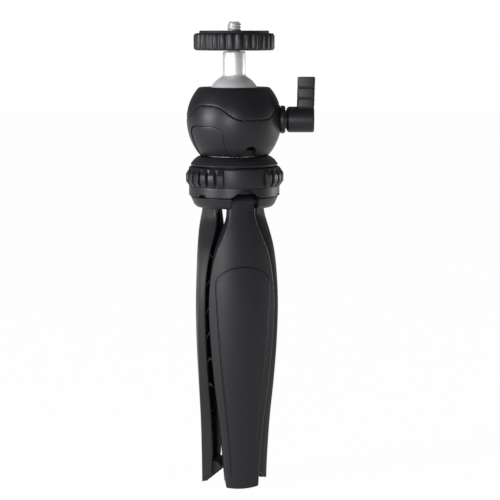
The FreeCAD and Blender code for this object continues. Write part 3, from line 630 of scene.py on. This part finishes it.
def arch_cutter(name, facing, half, low, top, near, far):
    """A straight tunnel with an arched roof that runs outwards."""
    outline = [(-half, low), (half, low)]
    for step in range(0, 13):
        turn = math.pi * step / 12
        outline.append((half * math.cos(turn), top - half + half * math.sin(turn)))
    turn = math.radians(facing)
    rings = []
    for ahead in (near, far):
        rings.append([(ahead * math.cos(turn) - x * math.sin(turn),
                       ahead * math.sin(turn) + x * math.cos(turn), y) for x, y in outline])
    return loft(name, rings)


recess = panel_solid("recess", 0.16, -1.0, 0.0, 1.5, 149.2)
hole = arch_cutter("hole", -65, 3.1, 149.0, 155.4, 13.4, 24)
carve(lower, recess, hole)
done(lower, "head", black_plastic, "black_plastic", "lower_housing")
panel = panel_solid("side_panel", -0.1, 0.22, 0.35, 1.35, 150.75)
done(panel, "head", black_plastic, "black_plastic", "tab_cover")

# %% [markdown]
# ## Flange and lock lever
# The lever is one moulding: a round hub that screws in towards the ball, and an upright
# handle with shallow cross grooves for the thumb. The hub is turned and laid on its side;
# the handle is a stack of rounded sections, which lets the grooves be part of the shape.

# %% Flange, hub and handle
LEVER_Z = 166.6


def laid_on_side(name, outline, segments=72, wrap=True):
    """A piece turned about the lever's level axis from (radius, distance out) points."""
    rings = []
    for radius, out in outline:
        rings.append([(out, radius * math.cos(2 * math.pi * k / segments),
                       LEVER_Z + radius * math.sin(2 * math.pi * k / segments)) for k in range(segments)])
    return loft(name, rings, wrap)


flange = laid_on_side("lever_flange_disc", rounded([
    (3.1, 20.8, 0), (6.25, 20.8, 0.1), (6.25, 22.4, 0.35), (5.7, 23.0, 0.3), (3.1, 23.0, 0.1)]))
done(flange, "head", black_plastic, "black_plastic", "lever_flange")

lever_hub = laid_on_side("lever_hub", rounded([
    (3.05, 23.15, 0), (4.3, 23.15, 0.15), (4.3, 23.6, 0.1), (5.0, 23.6, 0.2), (5.8, 24.5, 0.4),
    (5.8, 35.4, 0.5), (5.3, 35.9, 0.2), (0.05, 35.9, 0), (0.05, 33.1, 0), (3.05, 33.1, 0)]), wrap=False)


def handle_ring(height, near, far, half, corner=1.0):
    outline = rounded([(near, -half, corner), (far, -half, corner), (far, half, corner), (near, half, corner)],
                      steps=4)
    return [(x, y, height) for x, y in outline]


handle_rings = []
groove_heights = (171.9, 176.2, 181.0)
levels = [LEVER_Z + 1.0 + 0.35 * k for k in range(52)]
for height in levels:
    rise = (height - LEVER_Z) / 19.1
    near = 28.05 + 0.45 * rise
    far = 35.75 + 0.6 * rise
    half = 3.35 - 0.15 * rise
    inset = max(0.0, max(1 - abs(height - groove) / 0.5 for groove in groove_heights)) * 0.3
    handle_rings.append(handle_ring(height, near + inset * 0.5, far - inset * 0.2, half - inset))
handle_rings.append(handle_ring(185.45, 28.65, 36.22, 3.05))
handle_rings.append(handle_ring(185.68, 29.0, 35.85, 2.7))
handle = loft("handle", handle_rings)
lever = joined("lock_lever_moulding", [lever_hub, handle])
done(lever, "lever", black_plastic, "black_plastic", "lock_lever")

# %% [markdown]
# ## Collar
# The collar is a shallow convex cone that carries the head. It is a plain turned moulding
# with a soft lip; its inner spigot holds the selector ring.

# %% Collar
collar = turned("collar_moulding", rounded([
    (3.05, 146.0, 0), (11.0, 146.0, 0), (11.0, 136.3, 0), (16.6, 136.3, 0), (16.6, 146.1, 0.1),
    (19.45, 146.1, 0.3), (19.7, 146.75, 0.35), (18.3, 148.6, 2.0), (16.7, 149.9, 1.0), (15.75, 150.3, 0.2),
    (3.05, 150.3, 0)]), segments=200)
done(collar, "base", black_plastic, "black_plastic", "base_collar")

# %% [markdown]
# ## Selector ring
# The grip ring turns on the collar. It has three patches of six grip ribs, three plain
# stretches, and a skirt whose edge rises in a large arch over each leg and in a small notch
# between them. The skirt's edge is a height that depends on the angle; the ribs are a row.

# %% Selector ring
LEG_ANGLES = {"front": -74.0, "left": 166.0, "right": 46.0}
SKIRT_LOW = 132.6


def skirt_edge(angle):
    """Height of the skirt's lower edge: arches over the legs, notches between them."""
    over = apart(angle, -74.0)
    between = apart(angle, -14.0)
    if over < 21.0:
        return SKIRT_LOW + 4.0 * (0.5 * (1 + math.cos(math.pi * over / 21.0))) ** 0.85
    if between < 6.4:
        return SKIRT_LOW + 1.2 * math.sqrt(1 - (between / 6.4) ** 2)
    return SKIRT_LOW


def ring_loop(angle):
    edge = skirt_edge(angle)
    loop = [(16.9, 137.1), (18.6, 137.1), (18.6, edge + 0.12), (18.72, edge), (20.25, edge),
            (20.42, edge + 0.1), (20.45, edge + 0.3)]
    for step in range(1, 7):
        height = edge + 0.3 + (136.6 - edge - 0.3) * step / 6
        loop.append((20.45, min(height, 136.62)))
    loop += [(20.42, 136.85), (20.3, 136.95), (20.3, 137.1), (20.42, 137.25), (20.5, 137.5),
             (20.5, 144.7), (20.42, 145.2), (20.1, 145.55), (19.6, 145.7), (16.9, 145.7)]
    return loop


ring_body = shell("ring_body", ring_loop, segments=480)


def rib_ring(height, out, half_angle):
    """One level of a grip rib: a curved crest with steep flanks."""
    base = 20.2
    points = []
    for share, radius in ((-1.0, base), (-0.93, out - 0.25), (-0.75, out), (-0.25, out), (0.25, out),
                          (0.75, out), (0.93, out - 0.25), (1.0, base)):
        points.append(about_axis(max(radius, base), half_angle * share, height))
    return points


rib_levels = ((136.85, 20.3, 4.0), (137.05, 20.65, 4.2), (139.1, 22.1, 4.35), (139.35, 22.23, 4.4),
              (142.55, 22.23, 4.4), (142.85, 22.1, 4.35), (145.2, 20.55, 4.2), (145.4, 20.3, 4.0))
PATCH_ANGLES = (-163.75, -43.75, 76.25)
rib_rows = []
for patch in PATCH_ANGLES:
    rib_source = loft("rib_source", [rib_ring(*level) for level in rib_levels], smooth=40)
    rib_rows.append(row("grip_ribs", rib_source, 6, black_plastic, first=patch, step=11.5))
ring_piece = joined("selector_ring_ribbed", [ring_body] + rib_rows)
done(ring_piece, "ring", black_plastic, "black_plastic", "selector_ring")

# %% [markdown]
# ## Leg hub
# The hub is a short drum with a bevelled underside and three slots that hold the heads of
# the legs. It is turned, and the slots are cut with boxes.

# %% Leg hub


def box_cutter(name, facing, near, far, half, low, top):
    turn = math.radians(facing)
    rings = []
    for height in (low, top):
        ring = []
        for ahead, across in ((near, -half), (far, -half), (far, half), (near, half)):
            ring.append((ahead * math.cos(turn) - across * math.sin(turn),
                         ahead * math.sin(turn) + across * math.cos(turn), height))
        rings.append(ring)
    return loft(name, rings)


hub = turned("leg_hub_drum", rounded([
    (3.05, 131.3, 0), (5.0, 131.3, 0), (5.0, 127.5, 0.2), (16.9, 127.5, 0.6), (18.1, 128.6, 0.8),
    (19.7, 132.0, 0.3), (19.5, 132.25, 0.15), (16.6, 132.25, 0.1), (16.6, 136.3, 0.1), (3.05, 136.3, 0)]),
    segments=200)
carve(hub, *[box_cutter("slot", angle, 6.9, 24, 6.5, 120, 134.2) for angle in LEG_ANGLES.values()])
done(hub, "base", black_plastic, "black_plastic", "leg_hub")

# %% [markdown]
# ## Legs
# Each leg is a moulded channel: a bowed outer face that swells at the middle, side walls
# that turn inwards, and an open inner side with cross webs. A panel outline is sunk in the
# outer face. The channel is lofted through level sections whose widths follow the
# silhouette; the outline is a thin tube swept over the face and cut away.

# %% The leg's sections
LEG_STATIONS = (
    # height, crest of the outer face, half width, inner edge of the walls
    (0.0, 14.4, 7.6, 9.6), (12.0, 14.5, 8.35, 8.5), (30.0, 14.95, 10.05, 8.6), (48.0, 15.9, 12.5, 9.2),
    (66.0, 16.8, 14.3, 9.7), (84.0, 17.1, 15.2, 9.8), (97.0, 16.75, 14.3, 9.4), (108.0, 16.3, 12.0, 8.2),
    (116.5, 15.6, 8.5, 6.8), (122.5, 14.75, 6.25, 6.8), (127.0, 13.9, 5.9, 7.3))
FACE_ARC = 30.0
TOE = 12.9
SOLE_SLOPE = math.tan(math.radians(40))
CUT_SHARE = 0.9
LEVEL_CUT = 1.4


def along_leg(height, column):
    """A station value at any height, by a smooth curve through the stations."""
    heights = [station[0] for station in LEG_STATIONS]
    values = [station[column] for station in LEG_STATIONS]
    last = len(heights) - 1
    number = max(0, min(last - 1, sum(1 for h in heights if h <= height) - 1))

    def slope(k):
        if k <= 0:
            return (values[1] - values[0]) / (heights[1] - heights[0])
        if k >= last:
            return (values[last] - values[last - 1]) / (heights[last] - heights[last - 1])
        return (values[k + 1] - values[k - 1]) / (heights[k + 1] - heights[k - 1])

    span = heights[number + 1] - heights[number]
    t = min(1.0, max(0.0, (height - heights[number]) / span))
    return (values[number] * (2 * t ** 3 - 3 * t ** 2 + 1) + slope(number) * span * (t ** 3 - 2 * t ** 2 + t)
            + values[number + 1] * (3 * t ** 2 - 2 * t ** 3) + slope(number + 1) * span * (t ** 3 - t ** 2))


def face_out(across, height, inset=0.0):
    """Distance from the axis to the leg's outer face."""
    return along_leg(height, 1) - inset - FACE_ARC + math.sqrt(FACE_ARC ** 2 - across ** 2)


def leg_section(height):
    """A closed C-shaped section of the leg as (out, across, height)."""
    half = along_leg(height, 2)
    inner = along_leg(height, 3)
    wall = 1.8
    if height < 3.6:
        inner = max(inner, TOE - max(height - 0.9, 0.0) / SOLE_SLOPE)
    floor_edge = half - wall
    inner = min(inner, face_out(floor_edge, height, wall) - 0.2)
    side = face_out(half - 0.5, height)
    points = []
    for step in range(-12, 13):
        across = (half - 0.75) * step / 12
        points.append((face_out(across, height), across))
    rim = [(side - 0.02, half - 0.38), (side - 0.3, half - 0.1), (side - 0.75, half - 0.01),
           (inner + 0.35, half * 0.97), (inner + 0.08, half * 0.97 - 0.12), (inner, half * 0.97 - 0.4),
           (inner, half * 0.97 - 1.1), (inner + 0.3, half * 0.97 - 1.4)]
    floor_out = face_out(floor_edge - 0.2, height, wall)
    rim += [(floor_out - 0.35, floor_edge), (floor_out, floor_edge - 0.4)]
    points += rim
    for step in range(5, -6, -1):
        across = (floor_edge - 0.9) * step / 5
        points.append((face_out(across, height, wall), across))
    points += [(out, -across) for out, across in reversed(rim)]
    crest = along_leg(0.0, 1)
    lifted = []
    for out, across in points:
        cut = (crest - out) * SOLE_SLOPE * CUT_SHARE
        lifted.append((out, across, max(height, min(cut, LEVEL_CUT) + height * 0.2)))
    return lifted


leg_heights = [0.0, 0.12, 0.35, 0.9, 1.6, 2.4, 3.2, 3.8, 5.0]
leg_heights += [5.0 + 124.5 * k / 68 for k in range(1, 69)]
leg_channel = loft("leg_channel", [leg_section(height) for height in leg_heights], smooth=32)
print("leg sections", len(leg_heights))

# %% [markdown]
# ### The sunk outline
# The outline runs up both sides of the outer face and closes in a low arch near the top.
# It is a shallow groove, so a tube with its middle on the face is cut out of the wall.

# %% The groove in the outer face


def groove_half(height):
    """Half width of the sunk outline at a height."""
    table = ((6.0, 5.3), (20.0, 6.1), (40.0, 8.3), (60.0, 10.4), (80.0, 11.9), (90.0, 12.4), (96.0, 12.5))
    for (low, a), (high, b) in zip(table, table[1:]):
        if height <= high:
            return a + (b - a) * (height - low) / (high - low)
    return table[-1][1]


groove_path = [(groove_half(height), height) for height in [6 + 3 * k for k in range(30)]]
groove_path += [(12.3, 95.2), (11.6, 96.9), (10.4, 98.2), (8.6, 99.5), (6.2, 100.6), (3.2, 101.4), (0, 101.7)]
groove_path = groove_path + [(-x, y) for x, y in reversed(groove_path[:-1])]


def swept(name, path, radius, sides=8):
    """A thin tube over the leg's outer face, through (across, height) points."""
    spots = [Vector((face_out(across, height), across, height)) for across, height in path]
    rings = []
    for number, spot in enumerate(spots):
        ahead = spots[min(number + 1, len(spots) - 1)] - spots[max(number - 1, 0)]
        side = ahead.normalized().cross(Vector((1, 0, 0))).normalized()
        out = side.cross(ahead.normalized()).normalized()
        ring = []
        for k in range(sides):
            turn = 2 * math.pi * k / sides
            ring.append(tuple(spot + side * radius * math.cos(turn) + out * radius * math.sin(turn)))
        rings.append(ring)
    return loft(name, rings)


carve(leg_channel, swept("groove", groove_path, 0.42), smooth=32)

# %% [markdown]
# ### Webs, head and foot
# Chevron webs stiffen the hollow side, one every twelve millimetres. The leg's head is a
# round knuckle on the hinge pin, with cheeks that run down into the channel.

# %% Webs and knuckle


def web_ring(across):
    """One station across a web, which peaks in the middle of the channel."""
    lift = 27.5 + (1 - abs(across) / 13.0) * 5.0
    return [(11.8, across, lift), (16.2, across, lift), (16.2, across, lift + 1.1), (11.8, across, lift + 1.1)]


web_source = loft("web_source", [web_ring(x) for x in (-14.5, -9.0, -3.0, 0.0, 3.0, 9.0, 14.5)])
webs = row("webs", web_source, 7, leg_plastic, rise=12.0)
inside = loft("inside", [[(out, across * 0.995, height) for out, across in (
    (4.0, -along_leg(height, 2) + 1.2), (face_out(along_leg(height, 2) - 1.2, height, 0.9), -along_leg(height, 2) + 1.2),
    (face_out(0, height, 0.9), 0.0),
    (face_out(along_leg(height, 2) - 1.2, height, 0.9), along_leg(height, 2) - 1.2),
    (4.0, along_leg(height, 2) - 1.2))] for height in [20 + 5 * k for k in range(19)]])
carve(webs, inside, operation="INTERSECT")

PIVOT_OUT = 10.5
PIVOT_Z = 130.5


def knuckle_ring(across, shrink):
    """The side view of the knuckle and its cheek, drawn in by a shrink at its faces."""
    points = []
    for step in range(0, 15):
        turn = math.radians(-8 + 196 * step / 14)
        radius = 3.05 - shrink
        points.append((PIVOT_OUT + radius * math.cos(turn), across, PIVOT_Z + radius * math.sin(turn)))
    points += [(8.3 + shrink, across, 124.4), (9.4, across, 120.5), (13.2, across, 120.5), (13.0 - shrink, across, 124.6)]
    return points


knuckle = loft("knuckle", [knuckle_ring(-6.0, 0.35), knuckle_ring(-5.7, 0.0), knuckle_ring(5.7, 0.0),
                           knuckle_ring(6.0, 0.35)])
leg_master = joined("leg_master", [leg_channel, webs, knuckle])
print("leg faces", len(leg_master.data.polygons))

# %% [markdown]
# ### Rubber foot
# The foot is a wedge of rubber pressed into the end of the channel. Its sole is cut at the
# angle at which the leg stands when it is spread, and small nubs cover the sole. The nubs
# are rows made with the same tree.

# %% Rubber foot with nubs
HEEL = 4.6
SOLE_LOW = 0.35


def foot_ring(across, shrink):
    heel_z = SOLE_LOW + (TOE - HEEL) * SOLE_SLOPE
    corners = [(TOE - 0.05, SOLE_LOW + shrink, 0.2), (TOE - 0.05, 10.8 - shrink, 0.3), (10.5, 10.9 - shrink, 1.5),
               (HEEL + 1.9 + shrink, 10.4, 1.2), (HEEL + shrink, heel_z + 0.9, 0.5), (HEEL + shrink, heel_z + shrink, 0.3)]
    return [(x, across, y) for x, y in rounded(corners, steps=3)]


foot_body = loft("foot_body", [foot_ring(-6.0, 0.35), foot_ring(-5.7, 0.05), foot_ring(5.7, 0.05),
                               foot_ring(6.0, 0.35)])
nub_parts = [foot_body]
for line in range(5):
    share = 0.12 + 0.19 * line
    out = TOE - (TOE - HEEL) * share
    height = SOLE_LOW + (TOE - HEEL) * share * SOLE_SLOPE
    rings = []
    for size, drop in ((0.62, -0.15), (0.58, 0.2), (0.4, 0.4), (0.12, 0.46)):
        ring = []
        for k in range(8):
            turn = 2 * math.pi * k / 8
            slide = size * math.cos(turn)
            ring.append((out - slide * 0.766 - drop * 0.643, -4.8 + size * math.sin(turn),
                         height + slide * 0.643 - drop * 0.766))
        rings.append(ring)
    seed = loft("nub_source", rings, smooth=80)
    turn_side = Matrix.Rotation(math.radians(90), 4, "X")
    lift = Matrix.Translation(place(0, 0, 0))
    seed.data.transform(lift @ turn_side @ lift.inverted())
    copies = row("nubs", seed, 5, black_rubber, rise=2.4)
    copies.data.transform(lift @ turn_side.inverted() @ lift.inverted())
    nub_parts.append(copies)
foot_master = joined("foot_master", nub_parts)

# %% Three legs and three feet
for side, angle in LEG_ANGLES.items():
    for master, word, material, slot_name, solid in (
            (leg_master, "leg_moulding", leg_plastic, "black_plastic", "leg"),
            (foot_master, "rubber_foot", black_rubber, "black_rubber", "foot")):
        mesh = master.data.copy()
        mesh.transform(Matrix.Rotation(math.radians(angle), 4, "Z"))
        piece = bpy.data.objects.new(side + "_" + word, mesh)
        bpy.context.scene.collection.objects.link(piece)
        done(piece, side + "_leg_body", material, slot_name, side + "_" + solid)
discard(leg_master, foot_master)

# %% [markdown]
# ## Inner parts
# The bolts, nuts, washers, liner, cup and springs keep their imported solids. They are hardly
# seen, so each only needs its own metal or plastic.

# %% Finishes of the inner parts
INNER = {
    inner_steel: ("wheel_bush", "clamp_screw", "housing_screws", "lock_washer", "centre_bolt", "centre_nut",
                  "collar_screws", "detent_ball", "detent_spring", "pivot_pins"),
    brass: ("clamp_nut",),
    inner_plastic: ("socket_liner", "ball_cup", "brake_shoe", "pan_washer"),
}
for material, names in INNER.items():
    for name in names:
        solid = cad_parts[name]
        if not solid.material_slots:
            solid.data.materials.append(material)
        for number in range(len(solid.material_slots)):
            solid.material_slots[number].material = material
print("inner parts", sum(len(names) for names in INNER.values()))

# %% [markdown]
# ## Floor, light and camera
# A plain white floor runs back under an even white world. Both look white to the camera
# through Light Path, and the floor also in reflections, so the object itself needs no extra
# light; other rays see the world as a dim white fill. One large soft lamp stands to the left
# in front and a weaker one to the right.

# %% Floor
floor_mesh = bpy.data.meshes.new("floor")
floor_mesh.from_pydata([(-4, -4, FLOOR), (4, -4, FLOOR), (4, 4, FLOOR), (-4, 4, FLOOR)], [], [(0, 1, 2, 3)])
floor = bpy.data.objects.new("floor", floor_mesh)
bpy.context.scene.collection.objects.link(floor)
floor_material = bpy.data.materials.new("white_floor")
floor_material.use_nodes = True
tree = floor_material.node_tree
tree.nodes.clear()
path = tree.nodes.new("ShaderNodeLightPath")
seen = Flow(tree, path.outputs["Is Camera Ray"])
mirrored = Flow(tree, path.outputs["Is Glossy Ray"])
through = Flow(tree, path.outputs["Is Transmission Ray"])
white = seen.sum("MAXIMUM", seen, mirrored.sum("MAXIMUM", mirrored, through))
matt = node(tree, "ShaderNodeBsdfDiffuse", {}, {"Color": (0.8, 0.8, 0.8, 1.0)})
glow = node(tree, "ShaderNodeEmission", {}, {"Color": (1, 1, 1, 1), "Strength": 1.0})
mixed = tree.nodes.new("ShaderNodeMixShader")
tree.links.new((white * 0.985).socket, mixed.inputs[0])
tree.links.new(matt.socket, mixed.inputs[1])
tree.links.new(glow.socket, mixed.inputs[2])
floor_out = tree.nodes.new("ShaderNodeOutputMaterial")
tree.links.new(mixed.outputs[0], floor_out.inputs[0])
floor_mesh.materials.append(floor_material)

# %% World and lamps
world = bpy.data.worlds.new("studio")
bpy.context.scene.world = world
world.use_nodes = True
tree = world.node_tree
tree.nodes.clear()
path = tree.nodes.new("ShaderNodeLightPath")
seen = Flow(tree, path.outputs["Is Camera Ray"])
backdrop = node(tree, "ShaderNodeBackground", {}, {"Color": (1, 1, 1, 1), "Strength": 1.0})
fill = node(tree, "ShaderNodeBackground", {}, {"Color": (1, 1, 1, 1), "Strength": 0.2})
mixed = tree.nodes.new("ShaderNodeMixShader")
tree.links.new(seen.socket, mixed.inputs[0])
tree.links.new(fill.socket, mixed.inputs[1])
tree.links.new(backdrop.socket, mixed.inputs[2])
world_out = tree.nodes.new("ShaderNodeOutputWorld")
tree.links.new(mixed.outputs[0], world_out.inputs[0])


def lamp(name, spot, target, size, power):
    data = bpy.data.lights.new(name, "AREA")
    data.shape = "SQUARE"
    data.size = size
    data.energy = power
    light = bpy.data.objects.new(name, data)
    bpy.context.scene.collection.objects.link(light)
    light.location = spot
    light.rotation_euler = (Vector(target) - Vector(spot)).to_track_quat("-Z", "Y").to_euler()
    return light


lamp("key", (-0.95, -0.5, 0.08), (0, 0, -0.06), 0.4, 11.0)
lamp("front", (-0.17, -0.85, -0.03), (0, 0, -0.08), 0.15, 3.6)
lamp("rim", (0.85, 0.45, -0.1), (0, 0, -0.1), 0.3, 3.0)
print("lamps set")

# %% Camera
scene = bpy.context.scene
scene.view_settings.view_transform = "Standard"
lens = bpy.data.cameras.new("camera")
lens.sensor_width = 36.0
lens.lens = 127.8
camera = bpy.data.objects.new("camera", lens)
scene.collection.objects.link(camera)
camera.location = (0.0071, -0.800, FLOOR + 0.205)
camera.rotation_euler = (math.radians(90 - 6.955), 0, 0)
lens.clip_start = 0.01
lens.clip_end = 20
scene.camera = camera
print("camera at", tuple(round(value, 4) for value in camera.location))

# %% Update the scene
bpy.context.view_layer.update()
